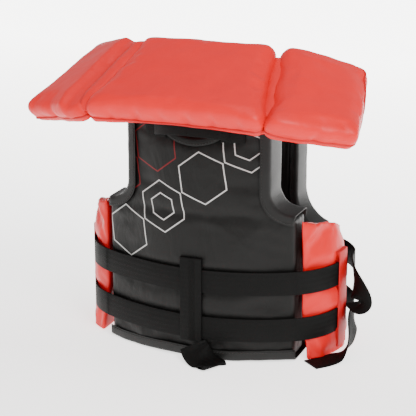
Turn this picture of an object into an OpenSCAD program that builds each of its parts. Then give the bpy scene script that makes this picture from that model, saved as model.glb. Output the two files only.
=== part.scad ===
// Child's closed-foam life jacket with a three-chamber head-support collar.
// The wearer faces -Y, the wearer's left side is +X, and the hem stands on z = 0.

/* [Torso] */
// Width of the torso across the two side panels
torso_w = 268; // [264:1:272]
// Depth of the torso from the front panels to the back panel
torso_d = 180; // [176:1:184]
// Place of the torso's middle along Y
torso_y = -23; // [-26:1:-20]
// Radius that the back and front panels are curved to
panel_r = 192; // [188:1:196]
// Thickness of the padded back and front panels
panel_t = 33; // [28:1:34]
// Radius that the side panels are curved to
side_r = 74; // [73:1:75]
// Thickness of the padded side panels
side_t = 22; // [16:1:24]
// Distance from the middle to the seams of the side panels
seam_x = 104; // [103:1:105]
// Height of the tops of the back and front panels
panel_top = 258; // [256:1:260]
// Thickness of the cover fabric with its coating
skin = 1.2; // [0.8:0.1:1.4]

/* [Armholes and neck] */
// Distance from the middle to the back edge of the armhole
back_arm_x = 76; // [74:1:78]
// Radius of the armhole's lower back corner
back_arm_r = 28; // [24:1:30]
// Height of the side panel where it meets the back panel
back_arm_z = 157; // [150:1:160]
// Distance from the middle to the front edge of the armhole
front_arm_x = 68; // [66:1:70]
// Radius of the armhole's lower front corner
front_arm_r = 36; // [30:1:38]
// Height of the side panel where it meets the front panel
front_arm_z = 118; // [112:1:124]
// Radius of the back neckline
back_neck_r = 48; // [44:1:50]
// Radius of the front neckline
front_neck_r = 40; // [36:1:42]

/* [Shoulders] */
// Distance from the middle to the inner edge of a shoulder strap
shoulder_x0 = 42; // [40:1:46]
// Distance from the middle to the outer edge of a shoulder strap
shoulder_x1 = 67; // [62:1:68]
// Radius of the arch of a shoulder strap
shoulder_r = 97; // [94:1:98]
// Thickness of a padded shoulder strap
shoulder_t = 14; // [10:1:16]

/* [Collar] */
// Slope of the collar as it lies back over the shoulders, in degrees
collar_slope = 25; // [20:1:28]
// Thickness of a collar chamber
collar_t = 30; // [26:1:32]
// Half width of the centre chamber at the neck
centre_far = 71; // [68:1:73]
// Half width of the centre chamber at the free edge
centre_near = 96; // [92:1:98]
// Length of the centre chamber from the neck to the free edge
centre_l = 128; // [120:1:132]
// Height of the upper face at the neck edge
collar_z = 335; // [333:1:337]
// Place of the neck edge behind the torso's middle
collar_y = 39; // [36:1:42]
// Droop of the two side chambers below the centre chamber, in degrees
wing_droop = 22; // [16:1:24]
// Width of a side chamber
wing_w = 94; // [90:1:96]
// Sweep of a side chamber towards the front
wing_sweep = 21; // [18:1:24]
// Distance that a side chamber's outer corner stops short of the centre chamber's free edge
wing_rise = 16; // [12:1:18]

/* [Webbing] */
// Width of the belt webbing
web_w = 25; // [20:1:26]
// Thickness of the belt webbing
web_t = 1.5; // [1.2:0.1:1.6]
// Height of the middle of the upper waist belt
upper_z = 88; // [84:1:92]
// Height of the middle of the lower waist belt
lower_z = 37; // [34:1:40]
// Width of the crotch strap
crotch_w = 30; // [25:1:34]

/* [Buckles and zip] */
// Width of a buckle across the webbing
buckle_w = 35; // [33:1:37]
// Thickness of a buckle
buckle_t = 9; // [8.5:0.5:9.5]
// Pitch of the zip's teeth
tooth_pitch = 5; // [5:1:6]
// Height of the top end of the zip
zip_top = 214; // [208:1:216]

/* [Hidden] */
$fn = 96;
gap = 0.3;
back_cy = torso_y + torso_d / 2 - panel_r;
front_cy = torso_y - torso_d / 2 + panel_r;
side_cx = torso_w / 2 - side_r;
front_y = torso_y - torso_d / 2;
back_y = torso_y + torso_d / 2;
inner_r = panel_r - panel_t;
zip_half = 8;
hem_h = 12;
pillow_r = collar_t / 2;
seam_a = atan((centre_near - centre_far) / centre_l);
buckle_y = front_y - 3.2;
// The hinge line of the collar lies under its neck edge
hinge_v = 12;
hinge_n = -collar_t - 1;

black = [0.13, 0.13, 0.12];
web_black = [0.2, 0.2, 0.19];
red = [0.82, 0.1, 0.12];
foam_white = [0.93, 0.92, 0.86];
plastic = [0.07, 0.07, 0.07];

// Routes of the free straps: places of the strap's middle and directions its face looks in
upper_tail_route = [
    [[-74.3, -106.6, 88], [-0.3, -1, 0]], [[-96, -99, 88], [-0.4, -1, 0]], [[-120, -83, 88], [-0.7, -0.8, 0]],
    [[-138, -57, 89], [-1, -0.4, 0]], [[-143, -36, 88], [-1, -0.2, 0.1]], [[-148, -23, 84], [-1, -0.6, 0.2]],
    [[-154, -14, 76], [-0.6, -0.9, 0.2]], [[-159, -9, 66.5], [-0.3, -1, 0.1]], [[-160, -11, 57.5], [-0.2, -1, -0.5]],
    [[-157, -17, 52.5], [-0.2, -0.4, -1]], [[-150.5, -24, 52], [0, 0, -1]]
];
lower_tail_route = [
    [[-74.3, -106.6, 37], [-0.3, -1, 0]], [[-96, -99, 37], [-0.4, -1, 0]], [[-120, -83, 37], [-0.7, -0.8, 0]],
    [[-138, -57, 38], [-1, -0.4, 0]], [[-146, -30, 37], [-1, -0.1, 0.1]], [[-150, -14, 31], [-1, 0, 0.3]],
    [[-152, -2, 20], [-1, 0, 0]], [[-149, 8, 10], [-0.8, 0, -0.6]], [[-142, 17, 3.5], [-0.1, 0, -1]],
    [[-133, 27, 1], [0, 0, -1]], [[-121, 41, 1], [0, 0, -1]]
];
crotch_route = [
    [[-2, 72.6, 18], [0, 1, 0.3]], [[-5, 75, 13.5], [0, 0.8, 0.6]], [[-12, 80, 9.8], [-0.1, 0.7, 0.7]],
    [[-21, 81.5, 6.5], [-0.3, 0.2, 0.9]], [[-29, 84, 4.4], [-0.1, 0.1, 1]], [[-31.6, 85.5, 3.2], [-0.9, 0.5, 0]],
    [[-29, 84, 2], [-0.1, 0.1, -1]], [[-21, 79.4, 1.3], [0, 0, -1]], [[-10, 60, 1], [0, 0, -1]],
    [[2, 20, 0.9], [0, 0, -1]], [[12, -30, 0.9], [0, 0, -1]], [[22, -80, 0.9], [0, 0, -1]],
    [[24, -106, 0.9], [0, 0, -1]], [[24, -114, 1.1], [0, 0, -1]], [[24, -116, 1.4], [0, 0, -1]]
];
crotch_front_x = 24;
slider_z = zip_top - 10;
pull_y = front_y - 6.9;
handle_z = panel_top - 12;
handle_r = 44;

// ---- Helpers ----------------------------------------------------------------

function unit(v) = v / norm(v);

function spline(a, b, c, d, t) =
    0.5 * (2 * b + (c - a) * t + (2 * a - 5 * b + 4 * c - d) * t * t
    + (3 * b - a - 3 * c + d) * t * t * t);

function clamp(i, n) = i < 0 ? 0 : i > n - 1 ? n - 1 : i;

// Points of one column of a route, with a number of steps in each stretch
function smooth_column(route, k, steps) =
    let (n = len(route))
    [for (i = [0 : n - 2]) for (s = [0 : steps - (i == n - 2 ? 0 : 1)])
        spline(route[clamp(i - 1, n)][k], route[i][k], route[i + 1][k],
            route[clamp(i + 2, n)][k], s / steps)];

// A flat strap swept along a route as one closed solid
module flat_strap(route, w, t, steps = 4) {
    mids = smooth_column(route, 0, steps);
    ways = smooth_column(route, 1, steps);
    n = len(mids);
    rings = [for (i = [0 : n - 1])
        let (tangent = unit(mids[clamp(i + 1, n)] - mids[clamp(i - 1, n)]),
            across = unit(cross(tangent, ways[i])),
            up = cross(tangent, across))
        [mids[i] - across * w / 2 - up * t / 2, mids[i] + across * w / 2 - up * t / 2,
            mids[i] + across * w / 2 + up * t / 2, mids[i] - across * w / 2 + up * t / 2]];
    points = [for (ring = rings) for (p = ring) p];
    sides = [for (i = [0 : n - 2]) for (k = [0 : 3])
        let (a = 4 * i + k, b = 4 * i + (k + 1) % 4) each [[a, b, b + 4], [a, b + 4, a + 4]]];
    ends = [[0, 3, 2], [0, 2, 1], [4 * n - 4, 4 * n - 3, 4 * n - 2], [4 * n - 4, 4 * n - 2, 4 * n - 1]];
    polyhedron(points, concat(sides, ends));
}

// A flat outline in X and Z, made solid from y0 to y1
module along_y(y0, y1) {
    translate([0, y1, 0]) rotate([90, 0, 0]) linear_extrude(y1 - y0) children();
}

// A flat outline in Y and Z, made solid from x0 to x1
module along_x(x0, x1) {
    translate([x0, 0, 0]) rotate([90, 0, 90]) linear_extrude(x1 - x0) children();
}

// A ring that stands on z0, round a centre
module ring(centre, r_in, r_out, z0, z1) {
    translate([centre[0], centre[1], z0]) difference() {
        cylinder(h = z1 - z0, r = r_out);
        translate([0, 0, -1]) cylinder(h = z1 - z0 + 2, r = r_in);
    }
}

// The right side of the jacket is the left side seen in a mirror
module on_right() {
    mirror([1, 0, 0]) children();
}

// ---- Padded panels ----------------------------------------------------------

module back_outline(inset) {
    difference() {
        translate([-seam_x + inset, inset]) square([2 * (seam_x - inset), panel_top - 2 * inset]);
        for (s = [-1, 1]) {
            translate([s * seam_x, back_arm_z + back_arm_r]) circle(r = back_arm_r + inset);
            translate([s > 0 ? back_arm_x - inset : -seam_x - 1, back_arm_z + back_arm_r])
                square([seam_x - back_arm_x + inset + 1, panel_top]);
        }
        translate([0, panel_top + 28]) circle(r = back_neck_r + inset);
    }
}

module front_outline(inset) {
    difference() {
        translate([zip_half + inset, inset]) square([seam_x - zip_half - 2 * inset, panel_top - 2 * inset]);
        translate([seam_x, front_arm_z + front_arm_r]) circle(r = front_arm_r + inset);
        translate([front_arm_x - inset, front_arm_z + front_arm_r])
            square([seam_x - front_arm_x + inset + 1, panel_top]);
        translate([0, panel_top + 6]) circle(r = front_neck_r + inset);
    }
}

module back_layer(r_in, r_out, inset) {
    intersection() {
        ring([0, back_cy], r_in, r_out, 0, panel_top);
        along_y(torso_y, back_y + 10) back_outline(inset);
    }
}

module front_layer(r_in, r_out, inset) {
    intersection() {
        ring([0, front_cy], r_in, r_out, 0, panel_top);
        along_y(front_y - 10, torso_y) front_outline(inset);
    }
}

// The low arches in the hem, where the crotch strap passes under it
module back_arch() {
    translate([-46, torso_y, -1]) cube([78, torso_d, 9]);
}

module front_arch() {
    translate([zip_half - 1, torso_y - torso_d, -1]) cube([crotch_front_x + 13, torso_d, 9]);
}

module back_cover() {
    color(black) difference() {
        back_layer(inner_r + skin + gap, panel_r, skin + gap);
        back_layer(inner_r, panel_r - skin, 2 * skin + gap);
        back_arch();
    }
}

module back_foam() {
    color(foam_white) difference() {
        back_layer(inner_r + skin + gap, panel_r - skin - gap, 2 * skin + 2 * gap);
        back_arch();
    }
}

module back_lining() {
    color(black) difference() {
        back_layer(inner_r, inner_r + skin, skin + gap);
        back_arch();
    }
}

// The folded tape that closes the hem, open upwards
module hem_tape(centre) {
    difference() {
        ring(centre, inner_r - skin - gap, panel_r + skin + gap, 0, hem_h);
        ring(centre, inner_r - gap, panel_r + gap, skin, hem_h + 1);
    }
}

module back_hem_binding() {
    color(black) difference() {
        intersection() {
            hem_tape([0, back_cy]);
            translate([-seam_x + 0.2, torso_y, 0]) cube([2 * seam_x - 0.4, torso_d, hem_h]);
        }
        back_arch();
    }
}

module front_left_cover() {
    color(black) difference() {
        front_layer(inner_r + skin + gap, panel_r, skin + gap);
        front_layer(inner_r, panel_r - skin, 2 * skin + gap);
        front_arch();
    }
}

module front_left_foam() {
    color(foam_white) difference() {
        front_layer(inner_r + skin + gap, panel_r - skin - gap, 2 * skin + 2 * gap);
        front_arch();
    }
}

module front_left_lining() {
    color(black) difference() {
        front_layer(inner_r, inner_r + skin, skin + gap);
        front_arch();
    }
}

module front_left_hem_binding() {
    color(black) difference() {
        intersection() {
            hem_tape([0, front_cy]);
            translate([zip_half, torso_y - torso_d, 0]) cube([seam_x - zip_half - 0.2, torso_d, hem_h]);
        }
        front_arch();
    }
}

module front_right_cover() { on_right() front_left_cover(); }
module front_right_foam() { on_right() front_left_foam(); }
module front_right_lining() { on_right() front_left_lining(); }
module front_right_hem_binding() { on_right() front_left_hem_binding(); }

// The side panel's height falls from the back seam to the front seam
module side_layer(r_in, r_out, inset) {
    intersection() {
        ring([side_cx, torso_y], r_in, r_out, inset, back_arm_z);
        translate([seam_x + gap + inset, torso_y - 100, 0]) cube([60, 200, back_arm_z]);
        along_x(seam_x, torso_w) polygon([
            [torso_y - 62, 0], [torso_y + 62, 0],
            [torso_y + 62, back_arm_z - inset], [torso_y - 62, front_arm_z - inset]]);
    }
}

module side_left_cover() {
    color(red) difference() {
        side_layer(side_r - side_t, side_r, 0);
        side_layer(0, side_r - skin, skin);
    }
}

module side_left_foam() {
    color(foam_white) side_layer(side_r - side_t, side_r - skin - gap, skin + gap);
}

module side_right_cover() { on_right() side_left_cover(); }
module side_right_foam() { on_right() side_left_foam(); }

// ---- Shoulders, armholes and neck --------------------------------------------

module shoulder_left() {
    color(black) intersection() {
        translate([shoulder_x0, torso_y, panel_top + 29 - shoulder_r]) rotate([0, 90, 0]) difference() {
            cylinder(h = shoulder_x1 - shoulder_x0, r = shoulder_r);
            translate([0, 0, -1])
                cylinder(h = shoulder_x1 - shoulder_x0 + 2, r = shoulder_r - shoulder_t);
        }
        translate([0, torso_y - 100, panel_top + gap]) cube([100, 200, 60]);
    }
}

module shoulder_right() { on_right() shoulder_left(); }

// The narrow tape that closes the straight back edge and the front edge of an armhole
module armhole_binding_left() {
    color(black) {
        intersection() {
            ring([0, back_cy], inner_r - skin, panel_r + skin, back_arm_z + back_arm_r, panel_top - 1);
            translate([back_arm_x + gap, torso_y, 0]) cube([skin, torso_d, panel_top]);
        }
        intersection() {
            ring([0, front_cy], inner_r - skin, panel_r + skin, front_arm_z + front_arm_r, panel_top - 1);
            translate([front_arm_x + gap, torso_y - torso_d, 0]) cube([skin, torso_d, panel_top]);
        }
    }
}

module armhole_binding_right() { on_right() armhole_binding_left(); }

// The band that stands up from the back neckline and carries the collar
module collar_stand() {
    hinge = collar_point(hinge_v, hinge_n);
    color(black) intersection() {
        along_x(-62, 62) polygon([
            [torso_y + 57, panel_top - 19], [torso_y + 63, panel_top - 19], [torso_y + 63, panel_top + 4],
            [hinge[0] + 4, hinge[1] - 5], [hinge[0], hinge[1] - 4.5], [hinge[0] - 3, hinge[1] - 7],
            [torso_y + 57, panel_top + 2]]);
        along_y(torso_y, back_y) union() {
            intersection() {
                translate([0, panel_top + 28]) circle(r = back_neck_r - gap);
                translate([1 - shoulder_x0, 0]) square([2 * shoulder_x0 - 2, panel_top + 60]);
            }
            polygon([[1 - shoulder_x0, panel_top + 26], [shoulder_x0 - 1, panel_top + 26],
                [62, hinge[1]], [-62, hinge[1]]]);
        }
    }
}

// ---- Collar -----------------------------------------------------------------

// Place in Y and Z of a point of the collar, from its neck edge and its upper face
function collar_point(v, n) = [
    torso_y + collar_y + v * cos(collar_slope) + n * sin(collar_slope),
    collar_z - v * sin(collar_slope) + n * cos(collar_slope)];

module collar_frame() {
    translate([0, torso_y + collar_y, collar_z]) rotate([-collar_slope, 0, 0]) children();
}

// The frame of the left side chamber, with Y along its fold seam
module wing_frame() {
    collar_frame() translate([centre_far + 2, 0, -pillow_r]) rotate([0, 0, -seam_a])
        rotate([0, wing_droop, 0]) children();
}

// A pillow with round edges over the four corners of a flat outline
module pillow(corners, r, facets = 32) {
    hull() for (p = corners) translate([p[0], p[1], 0]) sphere(r = r, $fn = facets);
}

// The centre chamber's side runs beside the fold seam, a little away from it
function centre_side(v) = centre_far + v * tan(seam_a) - (pillow_r + 1) / cos(seam_a);

function centre_corners() = [
    for (s = [-1, 1], v = [pillow_r, centre_l - pillow_r]) [s * centre_side(v), v]];

function wing_corners() = [
    [pillow_r + 2, pillow_r - 3], [wing_w - pillow_r, pillow_r - wing_sweep],
    [wing_w - pillow_r - 5, centre_l - wing_rise - pillow_r], [pillow_r + 2, centre_l - pillow_r]];

// A cover with a drain hole in its underside
module pillow_cover(corners, hole) {
    difference() {
        pillow(corners, pillow_r);
        pillow(corners, pillow_r - skin);
        translate([hole[0], hole[1], -pillow_r - 1]) cylinder(h = pillow_r, r = 3, $fn = 24);
    }
}

module collar_centre_cover() {
    color(red) collar_frame() translate([0, 0, -pillow_r])
        pillow_cover(centre_corners(), [0, centre_l - 40]);
}

module collar_centre_foam() {
    color(foam_white) collar_frame() translate([0, 0, -pillow_r])
        pillow(centre_corners(), pillow_r - skin - gap, 28);
}

module collar_left_cover() {
    color(red) wing_frame() pillow_cover(wing_corners(), [wing_w / 2, centre_l / 2]);
}

module collar_left_foam() {
    color(foam_white) wing_frame() pillow(wing_corners(), pillow_r - skin - gap, 28);
}

module collar_right_cover() { on_right() collar_left_cover(); }
module collar_right_foam() { on_right() collar_left_foam(); }

// The flat seams between the chambers, sewn to the centre chamber
module seam_tape_left() {
    collar_frame() translate([centre_far + 2, 0, -pillow_r]) rotate([0, 0, -seam_a])
        translate([-2, 14, -0.6]) cube([1.6, centre_l - 30, 1.2]);
}

module collar_seam_tapes() {
    color(red) {
        seam_tape_left();
        on_right() seam_tape_left();
    }
}

// ---- Webbing ----------------------------------------------------------------

// One layer of webbing round the torso, from its distance off the covers
module waist_layer(off, t, z0, z1) {
    intersection() {
        ring([0, back_cy], panel_r + off, panel_r + off + t, z0, z1);
        translate([-seam_x - 0.5, torso_y, z0]) cube([2 * seam_x + 1, torso_d, z1 - z0]);
    }
    for (s = [-1, 1]) intersection() {
        ring([s * side_cx, torso_y], side_r + off, side_r + off + t, z0, z1);
        translate([s > 0 ? seam_x : -seam_x - 60, torso_y - 100, z0]) cube([60, 200, z1 - z0]);
    }
}

// The layer's front stretch, between two distances from the middle
module front_stretch(off, t, z0, z1, x0, x1) {
    intersection() {
        ring([0, front_cy], panel_r + off, panel_r + off + t, z0, z1);
        translate([x0, torso_y - torso_d, z0]) cube([x1 - x0, torso_d, z1 - z0]);
    }
}

// Webbing that follows a line of places in X and Y, with its width along Z
module folded_web(z, line) {
    translate([0, 0, z - web_w / 2]) linear_extrude(web_w) for (i = [0 : len(line) - 2]) hull() {
        translate(line[i]) circle(d = web_t, $fn = 16);
        translate(line[i + 1]) circle(d = web_t, $fn = 16);
    }
}

// A waist belt: sewn to the socket on the left, round the back, to the right front
module waist_belt(z) {
    z0 = z - web_w / 2;
    z1 = z + web_w / 2;
    off = skin + 2 * gap;
    color(web_black) {
        waist_layer(off, web_t, z0, z1);
        front_stretch(off, web_t, z0, z1, 54, seam_x + 0.5);
        front_stretch(off, web_t, z0, z1, -seam_x - 0.5, -66);
        // Round the socket's end bar and back onto itself
        folded_web(z, [[54.5, front_cy - sqrt(pow(panel_r + off + web_t / 2, 2) - 54.5 * 54.5)],
            [41.5, buckle_y + gap + web_t / 2], [33.5, buckle_y + gap + web_t / 2],
            [33.5, buckle_y - buckle_t - gap - web_t / 2], [41.5, buckle_y - buckle_t - gap - web_t / 2],
            [57, front_cy - sqrt(pow(panel_r + off + web_t / 2, 2) - 57 * 57)]]);
    }
}

module upper_belt() { waist_belt(upper_z); }
module lower_belt() { waist_belt(lower_z); }

// A keeper strip over both belts, sewn down above, between and below them
module keeper_strip(x0, x1, y0, y1, r, centre, z0, z1) {
    out = skin + 4 * gap + web_t;
    intersection() {
        difference() {
            ring(centre, r + 2 * gap, r + out + web_t, z0, z1);
            for (z = [upper_z, lower_z])
                ring(centre, r, r + out, z - web_w / 2 - 0.6, z + web_w / 2 + 0.6);
        }
        translate([x0, y0, z0]) cube([x1 - x0, y1 - y0, z1 - z0]);
    }
}

module back_keeper() {
    color(web_black) keeper_strip(-11, 13, torso_y, torso_y + torso_d, panel_r, [0, back_cy], 21.5, 113);
}

module side_keeper_left() {
    color(red) keeper_strip(seam_x, torso_w, torso_y - 4, torso_y + 18, side_r,
        [side_cx, torso_y], 6, 112);
}

module side_keeper_right() { on_right() side_keeper_left(); }

module front_keepers() {
    color(web_black) for (s = [-1, 1])
        keeper_strip(s * 92 - 6, s * 92 + 6, torso_y - torso_d, torso_y, panel_r, [0, front_cy], 14, 108);
}

// ---- Buckles ----------------------------------------------------------------

// Both halves are made about the belt's middle, with the pull along -X
module buckle_frame(z) {
    translate([0, buckle_y, z]) children();
}

// A plate with round corners, from y = -t to y = 0
module buckle_plate(x0, x1, w, t, r) {
    rotate([90, 0, 0]) linear_extrude(t) {
        translate([x0 + r, -w / 2]) square([x1 - x0 - 2 * r, w]);
        translate([x0, -w / 2 + r]) square([x1 - x0, w - 2 * r]);
        for (x = [x0 + r, x1 - r], y = [-w / 2 + r, w / 2 - r]) translate([x, y]) circle(r = r, $fn = 32);
    }
}

module buckle_socket() {
    color(plastic) difference() {
        buckle_plate(0, 40, buckle_w, buckle_t, 5);
        // Throat for the plug
        translate([-1, -buckle_t + 2, -buckle_w / 2 + 5]) cube([29, buckle_t - 4, buckle_w - 10]);
        // Side windows for the two prongs
        for (s = [-1, 1]) translate([10, -buckle_t + 2, s * buckle_w / 2 - 6]) cube([16, buckle_t - 4, 12]);
        // Slot for the belt, with its bar on the far side
        translate([31, -buckle_t - 1, -web_w / 2 - 1]) cube([5, buckle_t + 2, web_w + 2]);
    }
}

module buckle_plug() {
    tongue = buckle_t - 5;
    color(plastic) {
        difference() {
            buckle_plate(-26, -0.5, buckle_w - 2, buckle_t, 4);
            for (x = [-23, -14]) translate([x, -buckle_t - 1, -web_w / 2 - 1])
                cube([5.5, buckle_t + 2, web_w + 2]);
        }
        for (s = [-1, 1]) hull() {
            translate([-3, -buckle_t + 2.5, s * 9 - 1.5]) cube([1, tongue, 3]);
            translate([22, -buckle_t + 2.5, s * 10 - 1.5]) cube([1, tongue, 3]);
        }
        translate([-3, -buckle_t + 2.5, -2]) cube([26, tongue, 4]);
    }
}

module upper_buckle_socket() { buckle_frame(upper_z) buckle_socket(); }
module lower_buckle_socket() { buckle_frame(lower_z) buckle_socket(); }
module upper_buckle_plug() { buckle_frame(upper_z) buckle_plug(); }
module lower_buckle_plug() { buckle_frame(lower_z) buckle_plug(); }

// The webbing threaded round the plug's outer bar, with the running end under it
module plug_webbing(z) {
    color(web_black) folded_web(z, [[-72.6, -107.2], [-28, buckle_y + gap + web_t / 2],
        [-20.6, buckle_y + gap + web_t / 2], [-20.6, buckle_y - buckle_t - gap - web_t / 2],
        [-27.5, buckle_y - buckle_t - gap - web_t / 2], [-47, -113]]);
}

module upper_plug_webbing() { plug_webbing(upper_z); }
module lower_plug_webbing() { plug_webbing(lower_z); }

module upper_strap_tail() { color(web_black) flat_strap(upper_tail_route, web_w, web_t); }
module lower_strap_tail() { color(web_black) flat_strap(lower_tail_route, web_w, web_t); }

// ---- Zip --------------------------------------------------------------------

module zip_tape_left() {
    color(black) translate([2.7, front_y - 1, hem_h + gap]) cube([12, 0.8, zip_top + 8 - hem_h]);
}

module zip_tape_right() { on_right() zip_tape_left(); }

// A row of teeth on its bead
module teeth_row(shift) {
    color(plastic) {
        translate([1.2, front_y - 1.6, hem_h]) cube([1.4, 2, zip_top - hem_h]);
        for (z = [hem_h + shift : tooth_pitch : zip_top - tooth_pitch])
            translate([-0.8, front_y - 2.2, z]) cube([2.6, 3, tooth_pitch / 2 - 0.4]);
    }
}

module zip_teeth_left() { teeth_row(0.2); }
module zip_teeth_right() { on_right() teeth_row(tooth_pitch / 2 + 0.2); }

module zip_bottom_box() {
    color(plastic) translate([-4, front_y - 2.4, hem_h - 5.2]) cube([8, 2.6, 5]);
}

module zip_top_stops() {
    color(plastic) for (s = [-1, 1])
        translate([s * 1.8 - 0.8, front_y - 2.4, zip_top + 0.3]) cube([1.6, 2.6, 3]);
}

module zip_slider() {
    color(plastic) translate([0, front_y, slider_z]) {
        difference() {
            translate([-5, -4.6, -7]) cube([10, 3.3, 14]);
            translate([-3.2, -2.5, -8]) cube([6.4, 4, 16]);
        }
        // The bail that holds the pull
        for (s = [-1, 1]) translate([s * 2.4 - 0.8, -8.6, -2.5]) cube([1.6, 4.2, 5]);
        translate([-3.2, pull_y - front_y, 0]) rotate([0, 90, 0]) cylinder(h = 6.4, r = 0.8, $fn = 24);
    }
}

module zip_pull() {
    color(plastic) translate([0, pull_y, slider_z]) {
        rotate([0, 90, 0]) translate([0, 0, -1.4]) difference() {
            cylinder(h = 2.8, r = 2, $fn = 32);
            translate([0, 0, -1]) cylinder(h = 5, r = 0.85, $fn = 24);
        }
        translate([-1.4, -1.2, -10]) cube([2.8, 2, 8.3]);
        translate([0, 0.8, 0]) rotate([90, 0, 0]) linear_extrude(2) {
            translate([-4, -34]) square([8, 25]);
            translate([0, -34]) circle(r = 4, $fn = 32);
        }
    }
}

// ---- Grab handle, tab and crotch strap ---------------------------------------

// A webbing loop that lies out from the back panel, under the collar
module grab_handle() {
    color(web_black) intersection() {
        ring([0, back_y - 14], handle_r - 2.4, handle_r, handle_z - 6, handle_z + 6);
        translate([-60, back_y + 3, handle_z - 8]) cube([120, 60, 16]);
    }
}

module grab_handle_patches() {
    color(web_black) for (s = [-1, 1]) intersection() {
        ring([0, back_cy], panel_r + gap, panel_r + 1.5, handle_z - 9, handle_z + 9);
        translate([s * 42 - 12, torso_y, handle_z - 9]) cube([24, torso_d, 18]);
    }
}

module front_tab() {
    color(web_black) for (s = [-1, 1]) intersection() {
        ring([0, front_cy], panel_r + gap, panel_r + 1.8, panel_top - 66, panel_top - 42);
        translate([s * 54 - 6, front_y - 10, panel_top - 66]) cube([12, torso_d / 2, 24]);
    }
}

module crotch_strap() { color(web_black) flat_strap(crotch_route, crotch_w, web_t); }

// The tab behind the lower buckle that holds the adjuster
module crotch_front_tab() {
    color(web_black) translate([crotch_front_x - crotch_w / 2, front_y - 2.6, 10])
        cube([crotch_w, 1.4, 14]);
}

module crotch_adjuster() {
    color(plastic) translate([crotch_front_x, -117, 2.6]) difference() {
        translate([-crotch_w / 2 - 3, -2, 0]) cube([crotch_w + 6, 3.2, 14]);
        for (z = [2.4, 8]) translate([-crotch_w / 2, -3, z]) cube([crotch_w, 6, 3.4]);
    }
}

// ---- Nodes ------------------------------------------------------------------

back_cover();
back_foam();
back_lining();
back_hem_binding();
front_right_cover();
front_right_foam();
front_right_lining();
front_right_hem_binding();
front_left_cover();
front_left_foam();
front_left_lining();
front_left_hem_binding();
side_right_cover();
side_right_foam();
side_left_cover();
side_left_foam();
shoulder_right();
shoulder_left();
armhole_binding_right();
armhole_binding_left();
collar_stand();
collar_centre_cover();
collar_centre_foam();
collar_right_cover();
collar_right_foam();
collar_left_cover();
collar_left_foam();
collar_seam_tapes();
back_keeper();
side_keeper_right();
side_keeper_left();
front_keepers();
upper_belt();
lower_belt();
upper_buckle_socket();
lower_buckle_socket();
upper_buckle_plug();
lower_buckle_plug();
upper_plug_webbing();
lower_plug_webbing();
upper_strap_tail();
lower_strap_tail();
zip_tape_right();
zip_tape_left();
zip_teeth_right();
zip_teeth_left();
zip_bottom_box();
zip_top_stops();
zip_slider();
zip_pull();
grab_handle();
grab_handle_patches();
front_tab();
crotch_strap();
crotch_front_tab();
crotch_adjuster();
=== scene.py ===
import math

import bmesh
import bpy
from mathutils import Matrix, Vector, noise


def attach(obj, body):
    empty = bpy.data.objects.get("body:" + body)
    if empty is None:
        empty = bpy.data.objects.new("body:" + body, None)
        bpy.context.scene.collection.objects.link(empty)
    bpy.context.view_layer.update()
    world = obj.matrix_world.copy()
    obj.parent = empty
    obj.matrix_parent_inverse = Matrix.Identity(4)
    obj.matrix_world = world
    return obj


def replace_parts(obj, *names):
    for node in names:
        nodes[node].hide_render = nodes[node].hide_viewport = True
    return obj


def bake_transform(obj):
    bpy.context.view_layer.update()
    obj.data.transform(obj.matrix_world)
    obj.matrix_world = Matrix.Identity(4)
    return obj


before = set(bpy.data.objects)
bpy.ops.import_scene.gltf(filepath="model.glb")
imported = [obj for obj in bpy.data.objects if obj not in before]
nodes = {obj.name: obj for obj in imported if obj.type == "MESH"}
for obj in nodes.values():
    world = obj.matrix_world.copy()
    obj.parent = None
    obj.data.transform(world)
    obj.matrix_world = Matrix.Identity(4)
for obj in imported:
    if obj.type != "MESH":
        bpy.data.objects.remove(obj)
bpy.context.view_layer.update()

# ---- Camera ------------------------------------------------------------------------------------------
# A long lens behind the jacket, a little to the wearer's right and above the collar, so that the back, the
# right side and the collar's top are all in view.
cam = bpy.data.cameras.new("camera")
cam.lens = 124.6
cam.sensor_width = 36
camera = bpy.data.objects.new("camera", cam)
bpy.context.collection.objects.link(camera)
eye, aim = Vector((-0.5281, 1.3738, 0.5902)), Vector((0.0301, -0.0528, 0.1286))
camera.location = eye
camera.rotation_euler = (aim - eye).to_track_quat("-Z", "Y").to_euler()
bpy.context.scene.camera = camera

# ---- Free straps -------------------------------------------------------------------------------------
# Two loose belt ends, 25 mm wide, and the crotch strap, 30 mm: flat woven webbing, 1.5 mm thick. Each leaves
# its buckle or keeper and lies as it hangs. A route holds points in millimetres, each with the way that the
# strap faces there.


def group(name, outputs):
    g = bpy.data.node_groups.new(name, "ShaderNodeTree")
    for o in outputs:
        g.interface.new_socket(o, in_out="OUTPUT", socket_type="NodeSocketFloat")
    out = g.nodes.new("NodeGroupOutput")
    return g, out


def node(tree, kind, ins=None, **props):
    n = tree.nodes.new(kind)
    for k, v in props.items():
        setattr(n, k, v)
    for k, v in (ins or {}).items():
        if isinstance(v, bpy.types.NodeSocket):
            tree.links.new(v, n.inputs[k])
        else:
            n.inputs[k].default_value = v
    return n


def calc(tree, op, *values):
    return node(tree, "ShaderNodeMath", dict(enumerate(values)), operation=op).outputs[0]


def rib_group(name, pitch):
    """Webbing: fine ribs that run across the strap, and a herringbone of threads."""
    g, out = group(name, ["Height"])
    uv = node(g, "ShaderNodeUVMap", uv_map="run").outputs[0]
    s = node(g, "ShaderNodeSeparateXYZ", {0: uv})
    u, v = s.outputs[0], s.outputs[1]
    k = 2 * math.pi / pitch
    zig = calc(g, "PINGPONG", v, pitch * 1.6)
    a = calc(g, "SINE", calc(g, "MULTIPLY", calc(g, "ADD", u, zig), k))
    b = calc(g, "SINE", calc(g, "MULTIPLY", v, k * 0.9))
    h = calc(g, "MULTIPLY", a, calc(g, "ABSOLUTE", b))
    g.links.new(calc(g, "MULTIPLY_ADD", h, 0.5, 0.5), out.inputs["Height"])
    return g


ribs = rib_group("webbing ribs", 0.0017)


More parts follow.
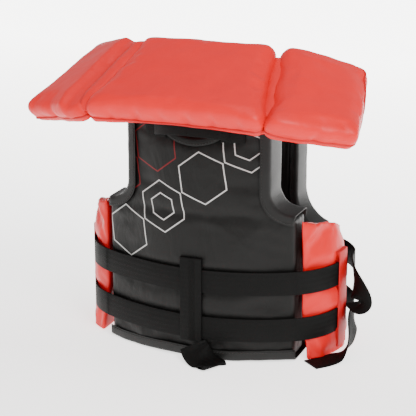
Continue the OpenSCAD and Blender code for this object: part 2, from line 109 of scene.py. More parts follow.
def material(name, color, rough, spec, layers=(), mottle=0.0):
    """A Principled material. layers are (height group, strength, distance) for the bump, and mottle is how
    much the colour varies."""
    m = bpy.data.materials.new(name)
    m.use_nodes = True
    t = m.node_tree
    b = t.nodes["Principled BSDF"]
    b.inputs["Base Color"].default_value = (*color, 1)
    b.inputs["Roughness"].default_value = rough
    b.inputs["Specular IOR Level"].default_value = spec
    normal = None
    for g, strength, distance in layers:
        gn = node(t, "ShaderNodeGroup", node_tree=g)
        ins = {"Strength": strength, "Distance": distance, "Height": gn.outputs["Height"]}
        if normal is not None:
            ins["Normal"] = normal
        normal = node(t, "ShaderNodeBump", ins).outputs[0]
    if normal is not None:
        t.links.new(normal, b.inputs["Normal"])
    if mottle:
        p = node(t, "ShaderNodeTexCoord").outputs["Object"]
        n = node(t, "ShaderNodeTexNoise", {"Vector": p, "Scale": 60.0, "Detail": 2.0})
        r = node(t, "ShaderNodeMapRange", {0: n.outputs[0], 3: 1 - mottle, 4: 1 + mottle})
        c = node(t, "ShaderNodeMix", {0: 1.0, 6: (*color, 1), 7: r.outputs[0]}, data_type="RGBA",
                 blend_type="MULTIPLY")
        t.links.new(c.outputs[2], b.inputs["Base Color"])
    return m


web_black = material("black webbing", (0.0036, 0.0036, 0.0034), 0.55, 0.08, layers=[(ribs, 0.6, 0.0004)],
                     mottle=0.12)


def new_object(name, bm, mat, body=None, lean=False, angle=None):
    """A piece from a bmesh. lean settles it as the jacket stands, and angle keeps sharper edges crisp."""
    name = name.replace(" ", "_")
    me = bpy.data.meshes.new(name)
    bmesh.ops.recalc_face_normals(bm, faces=bm.faces)
    bm.to_mesh(me)
    bm.free()
    if lean:
        for v in me.vertices:
            v.co = settle(v.co)
    me.materials.append(mat)
    me.polygons.foreach_set("use_smooth", [True] * len(me.polygons))
    o = bpy.data.objects.new(name, me)
    bpy.context.collection.objects.link(o)
    if angle:
        me.set_sharp_from_angle(angle=math.radians(angle))
    if body:
        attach(o, body)
    return o


def spline(a, b, c, d, t):
    square, cube = 2 * a - 5 * b + 4 * c - d, 3 * b - a - 3 * c + d
    return 0.5 * (2 * b + (c - a) * t + square * t * t + cube * t ** 3)


def route_line(route, column, steps):
    n = len(route)
    p = [Vector(r[column]) for r in route]
    at = lambda i: p[max(0, min(n - 1, i))]
    return [spline(at(i - 1), at(i), at(i + 1), at(i + 2), s / steps)
            for i in range(n - 1) for s in range(steps + (1 if i == n - 2 else 0))]


def flat_strap(name, route, width, thick, mat, body, steps=8):
    """A flat strap of webbing along a route in millimetres, with soft edges and a fold or two."""
    mids, ways = route_line(route, 0, steps), route_line(route, 1, steps)
    mids = [m / 1000 for m in mids]
    n = len(mids)
    bm = bmesh.new()
    uv = bm.loops.layers.uv.new("run")
    half, e = width / 2, thick / 2
    profile = [(-half, -e * 0.4), (-half + e, -e), (-half * 0.5, -e), (0, -e), (half * 0.5, -e),
               (half - e, -e), (half, -e * 0.4), (half, e * 0.4), (half - e, e), (half * 0.5, e), (0, e),
               (-half * 0.5, e), (-half + e, e), (-half, e * 0.4)]
    rings, runs, run = [], [], 0.0
    for i in range(n):
        t = (mids[min(i + 1, n - 1)] - mids[max(i - 1, 0)]).normalized()
        across = t.cross(ways[i]).normalized()
        up = t.cross(across)
        run += (mids[i] - mids[i - 1]).length if i else 0
        runs.append(run)
        rings.append([bm.verts.new(mids[i] + across * a + up * b) for a, b in profile])
    k = len(profile)
    for i in range(n - 1):
        for j in range(k):
            corners = [(i, j), (i, (j + 1) % k), (i + 1, (j + 1) % k), (i + 1, j)]
            f = bm.faces.new([rings[r][q] for r, q in corners])
            for l, (r, q) in zip(f.loops, corners):
                l[uv].uv = (runs[r], profile[q][0])
    bm.faces.new(rings[0][::-1])
    bm.faces.new(rings[-1])
    o = new_object(name, bm, mat, body, angle=60)
    return o, mids, run


upper_route = [
    [[-74.3, -106.6, 88], [-0.3, -1, 0]], [[-96, -99, 88], [-0.4, -1, 0]], [[-120, -83, 88], [-0.7, -0.8, 0]],
    [[-138, -57, 89], [-1, -0.4, 0]], [[-143, -36, 88], [-1, -0.2, 0.1]], [[-148, -23, 84], [-1, -0.6, 0.2]],
    [[-154, -14, 76], [-0.6, -0.9, 0.2]], [[-159, -9, 66.5], [-0.3, -1, 0.1]],
    [[-160, -11, 57.5], [-0.2, -1, -0.5]],
    [[-157, -17, 52.5], [-0.2, -0.4, -1]], [[-150.5, -24, 52], [0, 0, -1]]]
lower_route = [
    [[-74.3, -106.6, 37], [-0.3, -1, 0]], [[-96, -99, 37], [-0.4, -1, 0]], [[-120, -83, 37], [-0.7, -0.8, 0]],
    [[-138, -57, 38], [-1, -0.4, 0]], [[-146, -30, 37], [-1, -0.1, 0.1]], [[-150, -14, 31], [-1, 0, 0.3]],
    [[-152, -2, 20], [-1, 0, 0]], [[-149, 8, 10], [-0.8, 0, -0.6]], [[-142, 17, 3.5], [-0.1, 0, -1]],
    [[-133, 27, 1], [0, 0, -1]], [[-121, 41, 1], [0, 0, -1]]]
crotch_route = [
    [[-2, 72.6, 18], [0, 1, 0.3]], [[-5, 75, 13.5], [0, 0.8, 0.6]], [[-12, 80, 9.8], [-0.1, 0.7, 0.7]],
    [[-21, 81.5, 6.5], [-0.3, 0.2, 0.9]], [[-29, 84, 4.4], [-0.1, 0.1, 1]],
    [[-31.6, 85.5, 3.2], [-0.9, 0.5, 0]],
    [[-29, 84, 2], [-0.1, 0.1, -1]], [[-21, 79.4, 1.3], [0, 0, -1]], [[-10, 60, 1], [0, 0, -1]],
    [[2, 20, 0.9], [0, 0, -1]], [[12, -30, 0.9], [0, 0, -1]], [[22, -80, 0.9], [0, 0, -1]],
    [[24, -106, 0.9], [0, 0, -1]], [[24, -114, 1.1], [0, 0, -1]], [[24, -116, 1.4], [0, 0, -1]]]
for cad, title, route, width, body, end in (
        ("upper_strap_tail", "upper belt free end", upper_route, 0.025, "upper_plug", "bare"),
        ("lower_strap_tail", "lower belt free end", lower_route, 0.025, "lower_plug", "bare"),
        ("crotch_strap", "crotch strap webbing", crotch_route, 0.030, "jacket", "object")):
    strap, line, long = flat_strap(title, route, width, 0.0015, web_black, body)
    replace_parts(strap, cad)

# ---- Back panel --------------------------------------------------------------------------------------
# A closed-cell foam slab in black nylon, sewn all round and pressed in by the two waist belts. Rows of plain
# hexagon outlines are printed up the cloth, white below and dull red above.


def place(tree):
    p = node(tree, "ShaderNodeTexCoord").outputs["Object"]
    s = node(tree, "ShaderNodeSeparateXYZ", {0: p})
    return p, s.outputs[0], s.outputs[1], s.outputs[2]


def weave_group(name, pitch):
    g, out = group(name, ["Height"])
    p, x, y, z = place(g)
    k = 2 * math.pi / pitch
    u = calc(g, "MULTIPLY", calc(g, "ADD", x, calc(g, "MULTIPLY", y, 0.62)), k)
    v = calc(g, "MULTIPLY", calc(g, "ADD", z, calc(g, "MULTIPLY", y, -0.41)), k)
    h = calc(g, "MULTIPLY", calc(g, "SINE", u), calc(g, "SINE", v))
    g.links.new(calc(g, "MULTIPLY_ADD", h, 0.5, 0.5), out.inputs["Height"])
    return g


def crease_group(name, scale, stretch):
    g, out = group(name, ["Height"])
    p, x, y, z = place(g)
    m = node(g, "ShaderNodeMapping", {"Vector": p, "Scale": stretch})
    a = node(g, "ShaderNodeTexNoise", {"Vector": m.outputs[0], "Scale": scale, "Detail": 3.0,
                                       "Roughness": 0.45, "Distortion": 0.6})
    g.links.new(a.outputs[0], out.inputs["Height"])
    return g


weave_fine = weave_group("fine weave", 0.0011)
soft_creases = crease_group("soft creases", 34, (1.0, 1.0, 0.55))
black_nylon = material("black nylon", (0.0052, 0.005, 0.0046), 0.42, 0.15,
                       layers=[(weave_fine, 0.2, 0.0003), (soft_creases, 0.5, 0.006)], mottle=0.1)


def settle(co):
    """The way the jacket stands: its left side bulges, and the top of its right side leans in."""
    x, y, z = co
    if x > 0.055:
        t = min(1, (x - 0.055) / 0.08)
        x += 0.0105 * t * t * (3 - 2 * t)
    if x < -0.098 and z > 0.1:
        t, s = min(1, (z - 0.1) / 0.06), min(1, (-x - 0.098) / 0.03)
        x += 0.008 * t * t * (3 - 2 * t) * s
    return Vector((x, y, z))


def node_bm(name):
    bm = bmesh.new()
    bm.from_mesh(nodes[name].data)
    bmesh.ops.remove_doubles(bm, verts=bm.verts, dist=2e-5)
    return bm


def inflate(cad, voxel, pressure, cap, grow, pin=None):
    """A cloth skin over a foam piece: remeshed, blown up by a little air and a little spare cloth. cap gives
    how far the cloth may move at a point, and pin how firmly it is held there."""
    bm = node_bm(cad)
    me = bpy.data.meshes.new(cad + " skin")
    bm.to_mesh(me)
    bm.free()
    o = bpy.data.objects.new(cad + " skin", me)
    bpy.context.collection.objects.link(o)
    r = o.modifiers.new("remesh", "REMESH")
    r.mode, r.voxel_size, r.use_smooth_shade = "VOXEL", voxel, True
    bpy.context.view_layer.update()
    fresh = bpy.data.meshes.new_from_object(o.evaluated_get(bpy.context.evaluated_depsgraph_get()))
    o.modifiers.clear()
    o.data = fresh
    rest = [v.co.copy() for v in fresh.vertices]
    g = o.vertex_groups.new(name="pin")
    for v in fresh.vertices:
        w = pin(v.co) if pin else 0
        if w > 0:
            g.add([v.index], w, "REPLACE")
    c = o.modifiers.new("cloth", "CLOTH")
    s = c.settings
    s.quality, s.mass = 5, 0.3
    s.tension_stiffness = s.compression_stiffness = 15
    s.shear_stiffness, s.bending_stiffness = 5, 0.4
    s.use_pressure, s.uniform_pressure_force = True, pressure
    s.effector_weights.gravity = 0
    s.shrink_min = -grow
    s.vertex_group_mass = "pin"
    s.pin_stiffness = 1
    c.collision_settings.use_collision = False
    scene = bpy.context.scene
    c.point_cache.frame_start, c.point_cache.frame_end = 1, 20
    for f in range(1, 21):
        scene.frame_set(f)
    done = bpy.data.meshes.new_from_object(o.evaluated_get(bpy.context.evaluated_depsgraph_get()))
    for v, was in zip(done.vertices, rest):
        d = v.co - was
        limit = cap(was)
        if d.length > limit:
            v.co = was + d * (limit / d.length)
    o.modifiers.clear()
    o.data = done
    scene.frame_set(1)
    bm = bmesh.new()
    bm.from_mesh(o.data)
    bpy.data.objects.remove(o)
    bmesh.ops.smooth_vert(bm, verts=bm.verts, factor=0.35, use_axis_x=True, use_axis_y=True, use_axis_z=True)
    return bm


def subdivided(o):
    s = o.modifiers.new("smooth", "SUBSURF")
    s.levels = s.render_levels = 1


belt_bands = ((0.0755, 0.1005), (0.0245, 0.0495))


def near_belt(z):
    return any(a - 0.004 < z < b + 0.004 for a, b in belt_bands)


def panel_cap(p):
    return 0.0012 if near_belt(p.z) else 0.0035


def back_pin(p):
    edge = min(p.z - 0.003, 0.1 - abs(p.x))
    if p.z > 0.16:
        edge = min(edge, 0.0745 - abs(p.x), 0.254 - p.z)
    return 1.0 if edge < 0.006 else 0.0


def print_mask(shapes, turn, origin, line):
    g, out = group("print rows", ["Mask"])
    p, x, y, z = place(g)
    c, s = math.cos(turn), math.sin(turn)
    dx, dz = calc(g, "SUBTRACT", x, origin[0]), calc(g, "SUBTRACT", z, origin[1])
    a = calc(g, "ADD", calc(g, "MULTIPLY", dx, c), calc(g, "MULTIPLY", dz, s))
    b = calc(g, "ADD", calc(g, "MULTIPLY", dx, -s), calc(g, "MULTIPLY", dz, c))
    best = None
    for u0, v0, r in shapes:
        u = calc(g, "ABSOLUTE", calc(g, "SUBTRACT", a, u0))
        v = calc(g, "ABSOLUTE", calc(g, "SUBTRACT", b, v0))
        slanted = calc(g, "ADD", calc(g, "MULTIPLY", u, 0.866), calc(g, "MULTIPLY", v, 0.5))
        d = calc(g, "MAXIMUM", slanted, v)
        d = calc(g, "ABSOLUTE", calc(g, "SUBTRACT", d, r))
        best = d if best is None else calc(g, "MINIMUM", best, d)
    ink = node(g, "ShaderNodeMapRange", {0: best, 1: line * 0.35, 2: line * 0.65, 3: 1.0, 4: 0.0})
    depth = calc(g, "ADD", y, 0.125)
    radius = calc(g, "SQRT", calc(g, "ADD", calc(g, "MULTIPLY", x, x), calc(g, "MULTIPLY", depth, depth)))
    on_back = calc(g, "GREATER_THAN", radius, 0.178)
    g.links.new(calc(g, "MULTIPLY", ink.outputs[0], on_back), out.inputs["Mask"])
    return g


printed = black_nylon.copy()
printed.name = "black nylon with print"
t = printed.node_tree
under = t.nodes["Principled BSDF"].inputs["Base Color"].links[0].from_socket
single, double = (0.0238,), (0.0238, 0.0125)
white_row = [(0.026 + 0.0575 * k, 0, r) for k in range(5) for r in (double if k % 2 else single)]
red_row = [(0.058 + 0.0575 * k, -0.056, r) for k in range(4) for r in (single if k % 2 else double)]
for shapes, ink in ((red_row, (0.13, 0.006, 0.008, 1)), (white_row, (0.42, 0.42, 0.41, 1))):
    # The rows climb from the lower left, as seen from behind
    rows = print_mask(shapes, math.radians(180 - 37.7), (0.101, 0.112), 0.0013)
    mask = node(t, "ShaderNodeGroup", node_tree=rows)
    mix = node(t, "ShaderNodeMix", {0: mask.outputs["Mask"], 6: under, 7: ink}, data_type="RGBA")
    under = mix.outputs[2]
t.links.new(under, t.nodes["Principled BSDF"].inputs["Base Color"])
skin = inflate("back_foam", 0.0045, 5, panel_cap, 0.015, back_pin)
back = new_object("back panel", skin, printed, "jacket", lean=True)
subdivided(back)
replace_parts(back, "back_cover", "back_foam", "back_lining")

# ---- Front panels ------------------------------------------------------------------------------------
# The same foam and black nylon as the back panel, one each side of the zip. The cloth is held along the zip
# and the hem, and a little slack elsewhere.
for side in ("right", "left"):
    skin = inflate(f"front_{side}_foam", 0.0055, 4, panel_cap, 0.012,
                   lambda p: 1.0 if p.z < 0.009 or abs(p.x) < 0.014 else 0.0)
    panel = new_object(f"front {side} panel", skin, black_nylon, "jacket", lean=True)
    subdivided(panel)
    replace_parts(panel, f"front_{side}_cover", f"front_{side}_foam", f"front_{side}_lining")

# ---- Side panels -------------------------------------------------------------------------------------
# Red nylon over thinner foam, held to the front and back panels by the belts. The cloth is slack, so it
# bulges at the hem and has one slanting crease there.
red_nylon = material("red nylon", (0.62, 0.0042, 0.0052), 0.42, 0.26,
                     layers=[(weave_fine, 0.12, 0.0003), (soft_creases, 0.35, 0.004)], mottle=0.06)
for side in ("right", "left"):
    bm = inflate(f"side_{side}_foam", 0.004, 5, lambda p: 0.0016 if near_belt(p.z) else 0.006, 0.05,
                 lambda p: 1.0 if p.z < 0.006 or abs(p.x) < 0.108 else 0.0)
    for v in bm.verts:
        k = max(0, min(1, (0.055 - v.co.z) / 0.045))
        k = k * k * (3 - 2 * k)
        crease = math.exp(-(((v.co.z - 0.026 - 0.35 * (v.co.y - 0.01)) / 0.004) ** 2))
        v.co.x += math.copysign(0.006 * k - 0.0022 * crease, v.co.x)
        v.co.z = max(v.co.z - 0.004 * k, 0.0008)
    panel = new_object(f"side {side} panel", bm, red_nylon, "jacket", lean=True)
    subdivided(panel)
    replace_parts(panel, f"side_{side}_cover", f"side_{side}_foam")

# ---- Shoulder straps ---------------------------------------------------------------------------------
# Narrow padded bridges of black nylon over foam, from the top of each front panel to the back panel. Real
# ones are sewn into the panels' top edges, but here a few millimetres of air are left.
for side in ("right", "left"):
    skin = inflate(f"shoulder_{side}", 0.004, 4, lambda p: 0.002, 0.01)
    strap = new_object(f"shoulder {side} pad", skin, black_nylon, "jacket")
    subdivided(strap)
    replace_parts(strap, f"shoulder_{side}")

# ---- Collar stand ------------------------------------------------------------------------------------
# A band of black nylon over foam, which bends where the collar folds. A real one is sewn to the back neckline
# and the collar, but here a few millimetres of air are left at both.
stand = new_object("collar stand band", inflate("collar_stand", 0.0035, 2, lambda p: 0.001, 0.005),
                   black_nylon)
subdivided(stand)
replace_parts(stand, "collar_stand")
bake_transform(stand)

# ---- Collar chambers ---------------------------------------------------------------------------------
# Three box cushions of red nylon over foam, the side ones hanging lower at their outer ends. The cloth is
# gathered into a piped seam that runs round each cushion's side.
slope, seam_lean, droop = math.radians(25), math.atan(25 / 128), math.radians(22)
neck_frame = Matrix.Translation((0, 0.016, 0.335)) @ Matrix.Rotation(-slope, 4, "X")
centre_frame = neck_frame @ Matrix.Translation((0, 0, -0.015))
left_frame = (neck_frame @ Matrix.Translation((0.073, 0, -0.015)) @ Matrix.Rotation(-seam_lean, 4, "Z")
              @ Matrix.Rotation(droop, 4, "Y"))
flip = Matrix.Scale(-1, 4, (1, 0, 0))
half = lambda v: 0.071 + v * math.tan(seam_lean) - 0.016 / math.cos(seam_lean)
centre_core = [(-half(0.015), 0.015), (half(0.015), 0.015), (half(0.113), 0.113), (-half(0.113), 0.113)]
wing_core = [(0.017, 0.012), (0.079, -0.006), (0.074, 0.097), (0.017, 0.113)]


def core_point(core, x, y):
    """The nearest point of a flat convex outline."""
    best, inside = None, True
    for (ax, ay), (bx, by) in zip(core, core[1:] + core[:1]):
        ex, ey = bx - ax, by - ay
        if ex * (y - ay) - ey * (x - ax) < 0:
            inside = False
        t = max(0, min(1, ((x - ax) * ex + (y - ay) * ey) / (ex * ex + ey * ey)))
        qx, qy = ax + t * ex, ay + t * ey
        d = math.hypot(x - qx, y - qy)
        if best is None or d < best[0]:
            best = (d, qx, qy)
    return (x, y) if inside else best[1:]


def box_cushion(p, core, wing):
    """Squares the round edges of a pillow, gathers the cloth at its side seam and lets a wing droop. wing is
    0 on the centre chamber, 1 on the left one and -1 on the right one."""
    power = 3.4
    cx, cy = core_point(core, p.x, p.y)
    q = Vector((p.x - cx, p.y - cy, p.z))
    flat = math.hypot(q.x, q.y)
    if q.length > 1e-6:
        c = [abs(k) / q.length for k in q]
        q *= 1 / sum(k ** power for k in c) ** (1 / power)
    if flat > 0.003:
        seam = math.exp(-(((q.z + 0.0062) / 0.0042) ** 2))
        tuck = 0.5 + 0.5 * noise.noise(Vector((cx * 150 + q.x * 60, cy * 150 + q.y * 60, 4)))
        along = cx + cy * 0.9
        pull = max(0, math.sin(along * 235 + 2.4 * noise.noise(Vector((along * 30, 2, 9))))) ** 3
        dimple = math.exp(-(((q.z + 0.0005) / 0.0055) ** 2)) * pull * (0.5 + tuck) * (q.y / flat) ** 4
        inward = (seam * (0.0012 + 0.0022 * tuck) + 0.0034 * dimple) * min(1, flat / 0.012)
        q.x -= q.x / flat * inward
        q.y -= q.y / flat * inward
    out = Vector((cx, cy, 0)) + q
    low = max(0, min(1, (0.009 - out.z) / 0.008))
    if wing:
        k = max(0, out.x) / 0.094
        near = max(0, min(1, (0.030 - out.x) / 0.018))
        out.x -= 0.0030 * near * low + 0.0035 * near * max(0, min(1, (out.y - 0.095) / 0.02))
        if wing > 0 and out.z > 0:
            out.z -= 0.0065 * max(0, min(1, (0.025 - out.x) / 0.005))
        far = max(0, min(1, 1 - out.y / 0.12))
        out.x += 0.006 * k * k * (far if wing > 0 else 0.3)
        out.y += (-0.004 * k * k) if wing > 0 else 0
        out.z -= (0.013 if wing > 0 else 0.021) * k * k * far
        if wing > 0:
            corner = max(0, k - 0.55) * max(0, out.y / 0.11 - 0.45)
            out.x, out.y, out.z = out.x + 0.02 * corner, out.y + 0.03 * corner, out.z + 0.012 * corner
    else:
        near = max(0, min(1, (abs(out.x) - 0.055 - out.y * 0.19) / 0.02))
        out.x += math.copysign(0.0030 * low + 0.0035 * max(0, min(1, (out.y - 0.095) / 0.02)), out.x) * near
        out.z += 0.0035 * (1 - (out.x / 0.085) ** 2)
    big = noise.noise(out * 26) * 0.0011 + noise.noise(out * 60 + Vector((3, 1, 7))) * 0.0005
    out.z += big * (1 if out.z > 0 else 0.5)
    return out


def loop_at(me, inverse, height):
    """The line in which a chamber's skin crosses a level of its own frame, in order."""
    bm = bmesh.new()
    bm.from_mesh(me)
    bm.transform(inverse)
    cut = bmesh.ops.bisect_plane(bm, geom=bm.verts[:] + bm.edges[:] + bm.faces[:], plane_co=(0, 0, height),
                                 plane_no=(0, 0, 1))["geom_cut"]
    edges = {e for e in cut if isinstance(e, bmesh.types.BMEdge)}
    best = []
    while edges:
        e = edges.pop()
        path = [e.verts[0], e.verts[1]]
        going = True
        while going:
            going = False
            for n in path[-1].link_edges:
                if n in edges:
                    edges.discard(n)
                    path.append(n.other_vert(path[-1]))
                    going = True
                    break
        if len(path) > len(best):
            best = path
    points = [v.co.copy() for v in best[:-1]]
    bm.free()
    for _ in range(2):
        points = [(points[i - 1] + points[i] * 2 + points[(i + 1) % len(points)]) / 4
                  for i in range(len(points))]
    return points


def tube(bm, points, radius, sides, closed=False):
    """A round cord through the points, added to bm."""
    n = len(points)
    rings = []
    up = Vector((0.3, 0.2, 1)).normalized()
    for i, p in enumerate(points):
        a = points[(i - 1) % n] if closed else points[max(i - 1, 0)]
        b = points[(i + 1) % n] if closed else points[min(i + 1, n - 1)]
        t = (b - a).normalized()
        side = t.cross(up)
        side = side.normalized() if side.length > 0.05 else t.orthogonal().normalized()
        top = side.cross(t).normalized()
        rings.append([bm.verts.new(p + radius * (math.cos(q) * side + math.sin(q) * top))
                      for q in [2 * math.pi * k / sides for k in range(sides)]])
    last = n if closed else n - 1
    for i in range(last):
        r, s = rings[i], rings[(i + 1) % n]
        for k in range(sides):
            bm.faces.new([r[k], r[(k + 1) % sides], s[(k + 1) % sides], s[k]])
    if not closed:
        bm.faces.new(rings[0][::-1])
        bm.faces.new(rings[-1])


red_tape = material("red piping", (0.44, 0.0035, 0.005), 0.5, 0.2, layers=[(weave_fine, 0.3, 0.0002)])
for side, body in (("centre", "collar_centre"), ("right", "collar_right"), ("left", "collar_left")):
    local = centre_frame if side == "centre" else left_frame if side == "left" else flip @ left_frame
    core = centre_core if side == "centre" else wing_core
    inverse = local.inverted()
    bm = inflate(f"collar_{side}_foam", 0.0034, 6, lambda p: 0.0024, 0.03)
    for v in bm.verts:
        v.co = local @ box_cushion(inverse @ v.co, core, {"centre": 0, "left": 1, "right": -1}[side])
    bmesh.ops.smooth_vert(bm, verts=bm.verts, factor=0.3, use_axis_x=True, use_axis_y=True, use_axis_z=True)
    chamber = new_object(f"collar {side} chamber", bm, red_nylon, body)
    subdivided(chamber)
    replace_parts(chamber, f"collar_{side}_cover", f"collar_{side}_foam")
    line = loop_at(chamber.data, inverse, -0.0062)
    pipe = bmesh.new()
    tube(pipe, [local @ p for p in line], 0.0013, 8, closed=True)
    piping = new_object(f"collar {side} piping", pipe, red_tape, body)

# ---- Fold seams --------------------------------------------------------------------------------------
# Flat strips of the same red nylon between the centre chamber and each side one, along which the side
# chambers fold.
wide, thick = 0.0075, 0.0012
for s, body, depth in ((1, "collar_left", -0.0045), (-1, "collar_right", -0.0125)):
    bm = bmesh.new()
    rows = []
    for i in range(41):
        v = 0.004 + 0.116 * i / 40
        mid = s * (0.0722 + v * math.tan(seam_lean))
        sag = 0.0012 * noise.noise(Vector((v * 60, s, 0)))
        drop = depth - 0.010 * max(0, (v - 0.098) / 0.022) ** 2 - 0.006 * max(0, (0.018 - v) / 0.014) ** 2
        rows.append([bm.verts.new(neck_frame @ Vector((mid + wide * a, v,
                                                       drop - 0.0016 * a * a + sag + t * thick)))
                     for t in (0, -1) for a in (-1, -0.5, 0, 0.5, 1)])
    for r, q in zip(rows, rows[1:]):
        for k in range(4):
            bm.faces.new([r[k], r[k + 1], q[k + 1], q[k]])
            bm.faces.new([r[6 + k], r[5 + k], q[5 + k], q[6 + k]])
        bm.faces.new([r[0], q[0], q[5], r[5]])
        bm.faces.new([r[4], r[9], q[9], q[4]])
    for r in (rows[0], rows[-1]):
        for k in range(4):
            bm.faces.new([r[k], r[k + 1], r[6 + k], r[5 + k]])
    strip = new_object(f"fold seam {'left' if s > 0 else 'right'}", bm, red_nylon)
    if s > 0:
        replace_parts(strip, "collar_seam_tapes")
    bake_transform(strip)

# ---- Bindings ----------------------------------------------------------------------------------------
# Black nylon tape folded over the raw edges of the panels at the hems, armholes and back neckline. It is sewn
# with a row of black thread on each face, and lies a little uneven, as sewn tape does.
tape_black = material("black binding tape", (0.006, 0.006, 0.0056), 0.5, 0.2,
                      layers=[(weave_fine, 0.3, 0.0003)])
thread_black = material("black thread", (0.02, 0.02, 0.019), 0.6, 0.2, layers=[(weave_fine, 0.3, 0.0001)])


def stitches(bm, points, normals):
    """Short thread stitches along a line that lies on a surface, added to bm."""
    pitch, length, radius, lift = 0.0032, 0.0022, 0.00035, 0.0001
    run = 0.0
    goal = pitch / 2
    for i in range(len(points) - 1):
        a, b = points[i], points[i + 1]
        step = (b - a).length
        while goal <= run + step and step > 0:
            c = a.lerp(b, (goal - run) / step)
            t = (b - a).normalized()
            nrm = normals[i].normalized()
            mids = [c - t * length / 2 - nrm * radius, c - t * length / 4 + nrm * lift,
                    c + t * length / 4 + nrm * lift, c + t * length / 2 - nrm * radius]
            tube(bm, mids, radius, 6)
            goal += pitch
        run += step


def edge_tape(name, run, front, reach, lean=True):
    """A tape folded over the edge of a curved panel, sewn with one row of stitches on each face. run holds
    pairs of (x, z) on the edge and the way out of the panel there, and the panel lies between two radii about
    an upright line."""
    path, outs = zip(*run)
    centre_y, sign = (0.079, -1) if front else (-0.125, 1)
    r_in, r_out, t, wave = 0.159, 0.192, 0.0011, 0.0004
    outer = [(-reach, r_out + 0.0013), (-0.001, r_out + 0.0013), (0.0012, r_out - 0.0004),
             (0.0018, r_out - 0.004), (0.0018, r_in + 0.004), (0.0012, r_in + 0.0004),
             (-0.001, r_in - 0.0013), (-reach, r_in - 0.0013)]
    inner = [(-reach, r_in - 0.0013 + t), (-0.0015, r_in - 0.0013 + t), (0.0018 - t, r_in + 0.004),
             (0.0018 - t, r_out - 0.004), (-0.0015, r_out + 0.0013 - t), (-reach, r_out + 0.0013 - t)]
    section = outer + inner
    bm = bmesh.new()
    rings = []
    for i, ((x, z), out) in enumerate(zip(path, outs)):
        o = Vector(out).normalized()
        ring = []
        for depth, r in section:
            w = wave * noise.noise(Vector((x * 90, z * 90, r * 200)))
            px, pz = x + o.x * (depth + w), z + o.y * (depth + w)
            rr = r + wave * 1.2 * noise.noise(Vector((x * 70 + 5, z * 70, sign * 3)))
            y = centre_y + sign * math.sqrt(max(rr * rr - px * px, 1e-6))
            ring.append(bm.verts.new((px, y, pz)))
        rings.append(ring)
    k = len(section)
    for a, b in zip(rings, rings[1:]):
        for j in range(k):
            bm.faces.new([a[j], a[(j + 1) % k], b[(j + 1) % k], b[j]])
    bm.faces.new(rings[0][::-1])
    bm.faces.new(rings[-1])
    bmesh.ops.triangulate(bm, faces=[f for f in bm.faces if len(f.verts) > 4])
    tape = new_object(name, bm, tape_black, "jacket", lean=lean, angle=70)
    bm = bmesh.new()
    for r, turn in ((r_out + 0.0014, 1), (r_in - 0.0014, -1)):
        line, ways = [], []
        for (x, z), out in zip(path, outs):
            o = Vector(out).normalized()
            px, pz = x - o.x * (reach - 0.002), z - o.y * (reach - 0.002)
            y = centre_y + sign * math.sqrt(max(r * r - px * px, 1e-6))
            line.append(Vector((px, y, pz)))
            ways.append(Vector((px, y - centre_y, 0)).normalized() * turn)
        stitches(bm, line, ways)
    new_object(name + " stitches", bm, thread_black, "jacket", lean=lean)
    return tape


def mirrored(run, s):
    return [((s * x, z), (s * ox, oz)) for (x, z), (ox, oz) in run]


def arc(cx, cz, r, a0, a1, n):
    """Points on an arc in X and Z, and the ways towards its centre."""
    out = []
    for i in range(n + 1):
        a = math.radians(a0 + (a1 - a0) * i / n)
        out.append(((cx + r * math.cos(a), cz + r * math.sin(a)), (-math.cos(a), -math.sin(a))))
    return out


def straight(a, b, out, n):
    return [((a[0] + (b[0] - a[0]) * i / n, a[1] + (b[1] - a[1]) * i / n), out) for i in range(n + 1)]


hem = [((x / 1000, 0.0032 + 0.0008 * math.sin(x / 17)), (0, -1)) for x in range(-103, 104, 4)]
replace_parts(edge_tape("back hem tape", hem, False, 0.010), "back_hem_binding")
edge_tape("back neckline tape", arc(0, 0.286, 0.048, 214, 326, 26), False, 0.007, lean=False)
for s, side in ((1, "left"), (-1, "right")):
    run = arc(0.104, 0.185, 0.028, -96, -180, 14) + straight((0.076, 0.188), (0.076, 0.255), (1, 0), 12)
    tape = edge_tape(f"back armhole tape {side}", mirrored(run, s), False, 0.008)
    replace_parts(tape, f"armhole_binding_{side}")
    run = arc(0.104, 0.154, 0.036, -96, -180, 14) + straight((0.068, 0.157), (0.068, 0.255), (1, 0), 16)
    edge_tape(f"front armhole tape {side}", mirrored(run, s), True, 0.008)
    run = [((x / 1000, 0.0034 + 0.0006 * math.sin(x / 13)), (0, -1)) for x in range(9, 104, 4)]
    tape = edge_tape(f"front hem tape {side}", mirrored(run, s), True, 0.010)
    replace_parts(tape, f"front_{side}_hem_binding")

# ---- Belts and keepers -------------------------------------------------------------------------------
# Two black waist belts of 25 mm webbing, held by sewn keeper strips: black ones on the back and on the front
# panels, and a red one on each side.


def strap_uv(bm):
    """The webbing's run (round the body or along Z) and its width, in metres."""
    uv = bm.loops.layers.uv.get("run") or bm.loops.layers.uv.new("run")
    for f in bm.faces:
        for l in f.loops:
            x, y, z = l.vert.co
            l[uv].uv = (math.atan2(x, -(y + 0.023)) * 0.115, z)


def refine(cad, name, mat, body, bevel, segments, lean=False):
    """The finished piece on a CAD node: its edges rounded, its faces smooth."""
    bm = node_bm(cad)
    bmesh.ops.dissolve_limit(bm, angle_limit=math.radians(1.5), verts=bm.verts, edges=bm.edges)
    sharp = [e for e in bm.edges if len(e.link_faces) == 2 and e.calc_face_angle(0) > math.radians(35)]
    bmesh.ops.bevel(bm, geom=sharp, offset=bevel, offset_type="OFFSET", segments=segments, profile=0.5,
                    affect="EDGES", clamp_overlap=True, material=-1)
    bmesh.ops.triangulate(bm, faces=[f for f in bm.faces if len(f.verts) > 4])
    strap_uv(bm)
    o = new_object(name, bm, mat, body, lean=lean, angle=50)
    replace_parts(o, cad)
    return o


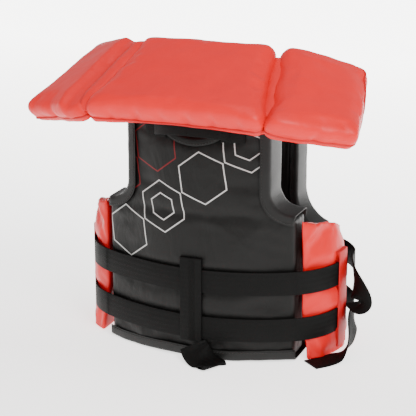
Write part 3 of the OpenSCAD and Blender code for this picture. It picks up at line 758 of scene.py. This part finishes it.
for cad in ("upper_belt", "lower_belt"):
    refine(cad, cad.replace("_", " ") + " webbing", web_black, "jacket", 0.0004, 2, lean=True)
refine("back_keeper", "back keeper strip", web_black, "jacket", 0.0005, 2, lean=True)
refine("front_keepers", "front keeper strips", web_black, "jacket", 0.0005, 2, lean=True)
for side in ("right", "left"):
    refine(f"side_keeper_{side}", f"side keeper {side} strip", red_tape, "jacket", 0.0005, 2, lean=True)

# ---- Buckles -----------------------------------------------------------------------------------------
# Two side-release buckles in moulded black nylon, a socket half and a plug half each. Webbing is threaded
# round the bar of each half.
plastic = material("black plastic", (0.008, 0.008, 0.0084), 0.36, 0.35, layers=[(soft_creases, 0.04, 0.001)])
for level in ("upper", "lower"):
    refine(f"{level}_buckle_socket", f"{level} buckle socket half", plastic, "jacket", 0.0007, 3)
    refine(f"{level}_buckle_plug", f"{level} buckle plug half", plastic, f"{level}_plug", 0.0006, 3)
    refine(f"{level}_plug_webbing", f"{level} threaded webbing", web_black, f"{level}_plug", 0.0003, 2)

# ---- Zip ---------------------------------------------------------------------------------------------
# A moulded black zip on two nylon tapes, sewn to the front panels' edges, with an end box, two end stops
# and a slider with its pull tab.
for side in ("right", "left"):
    refine(f"zip_tape_{side}", f"zip tape {side} half", tape_black, "jacket", 0.0002, 1)
    refine(f"zip_teeth_{side}", f"zip teeth {side} row", plastic, "jacket", 0.00015, 1)
refine("zip_bottom_box", "zip end box", plastic, "jacket", 0.0005, 2)
refine("zip_top_stops", "zip end stops", plastic, "jacket", 0.0003, 2)
refine("zip_slider", "zip slider body", plastic, "slider", 0.0004, 2)
refine("zip_pull", "zip pull tab", plastic, "pull", 0.0004, 2)

# ---- Lifting loop, front tabs and the crotch strap's front end ---------------------------------------
# A webbing loop to lift the wearer by, sewn under the collar with two patches, small webbing tabs at the
# front shoulders, and the tab and moulded adjuster that the crotch strap runs to.
loop = refine("grab_handle", "lifting loop webbing", web_black, "handle", 0.0005, 2)
for v in loop.data.vertices:
    out = (v.co.y - 0.070) * 0.6
    v.co.y, v.co.z = 0.070 + out, v.co.z + out * 0.35
refine("grab_handle_patches", "lifting loop patches", web_black, "jacket", 0.0003, 2)
refine("front_tab", "front shoulder tabs", web_black, "jacket", 0.0003, 2)
refine("crotch_front_tab", "crotch strap tab", web_black, "jacket", 0.0003, 2)
refine("crotch_adjuster", "crotch strap adjuster", plastic, "jacket", 0.0005, 3)

# ---- Floor and lights --------------------------------------------------------------------------------
# A pale floor that gives off light of its own, about four times as much far behind the jacket as under it, a
# soft sky, a key light from the wearer's right, and weak fill and top lights.
bm = bmesh.new()
bmesh.ops.create_grid(bm, x_segments=2, y_segments=2, size=4)
pale = material("pale floor", (0.9, 0.895, 0.885), 0.7, 0.1, layers=[(soft_creases, 0.01, 0.001)])
t = pale.node_tree
away = node(t, "ShaderNodeSeparateXYZ", {0: node(t, "ShaderNodeTexCoord").outputs["Object"]})
glow = node(t, "ShaderNodeMapRange", {0: away.outputs[1], 1: 0.1, 2: -1.6, 3: 1.6, 4: 6.0})
t.links.new(glow.outputs[0], t.nodes["Principled BSDF"].inputs["Emission Strength"])
t.nodes["Principled BSDF"].inputs["Emission Color"].default_value = (1, 0.995, 0.98, 1)
floor = new_object("floor", bm, pale)
world = bpy.data.worlds.new("studio")
bpy.context.scene.world = world
world.use_nodes = True
world.node_tree.nodes["Background"].inputs[0].default_value = (1.0, 0.995, 0.985, 1)
world.node_tree.nodes["Background"].inputs[1].default_value = 0.75
for name, spot, size, power in (("key", (-1.15, 1.0, 1.35), 0.8, 34), ("fill", (1.2, 1.3, 0.8), 1.0, 5),
                                ("top", (-0.1, 0.3, 1.9), 1.0, 9)):
    lamp = bpy.data.lights.new(name, "AREA")
    lamp.energy, lamp.size = power, size
    lo = bpy.data.objects.new(name, lamp)
    bpy.context.collection.objects.link(lo)
    lo.location = spot
    lo.rotation_euler = (Vector((0, 0, 0.16)) - Vector(spot)).to_track_quat("-Z", "Y").to_euler()
